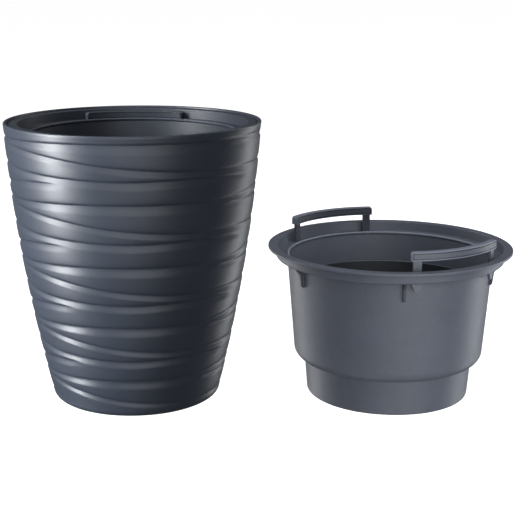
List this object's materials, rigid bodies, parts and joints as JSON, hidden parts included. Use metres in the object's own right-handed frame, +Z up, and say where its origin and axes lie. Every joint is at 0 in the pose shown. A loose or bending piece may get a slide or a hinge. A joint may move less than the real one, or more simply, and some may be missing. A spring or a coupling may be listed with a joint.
{
  "type": "self watering planter",
  "caption": "Round self-watering planter with creased sides, a lift-out insert that has pull-up handles, and a matching insert standing beside it.",
  "frame": {"origin": "centre of the outer pot's foot, on the floor", "axes": "+Z up, +X from the outer pot towards the insert standing beside it, -Y is the front"},
  "size_m": [0.5973, 0.2996, 0.329],
  "materials": {
    "pot_plastic": "satin anthracite moulded plastic",
    "insert_plastic": "matte anthracite moulded plastic, fine grain",
    "handle_plastic": "matte anthracite moulded plastic, fine grain"
  },
  "bodies": {
    "pot": {"outer_pot": "pot_plastic"},
    "insert": {"insert": "pot_plastic"},
    "handle_back": {"insert_handle_back": "pot_plastic"},
    "handle_front": {"insert_handle_front": "pot_plastic"},
    "spare_insert": {"spare_insert": "insert_plastic"},
    "spare_handle_left": {"spare_handle_left": "handle_plastic"},
    "spare_handle_right": {"spare_handle_right": "handle_plastic"}
  },
  "joints": [
    {"name": "insert_lift", "type": "slide", "parent": "pot", "child": "insert", "axis": [0, 0, 1], "range_m": [0, 0.22]},
    {"name": "handle_back_pull", "type": "slide", "parent": "insert", "child": "handle_back", "axis": [0, 0, 1], "range_m": [0, 0.0227]},
    {"name": "handle_front_pull", "type": "slide", "parent": "insert", "child": "handle_front", "axis": [0, 0, 1], "range_m": [0, 0.0227]},
    {"name": "spare_insert_lift", "type": "slide", "parent": "pot", "child": "spare_insert", "axis": [0, 0, 1], "range_m": [0, 0.22]},
    {"name": "spare_handle_left_push", "type": "slide", "parent": "spare_insert", "child": "spare_handle_left", "axis": [0, 0, 1], "range_m": [-0.0227, 0]},
    {"name": "spare_handle_right_push", "type": "slide", "parent": "spare_insert", "child": "spare_handle_right", "axis": [0, 0, 1], "range_m": [-0.0227, 0]}
  ]
}
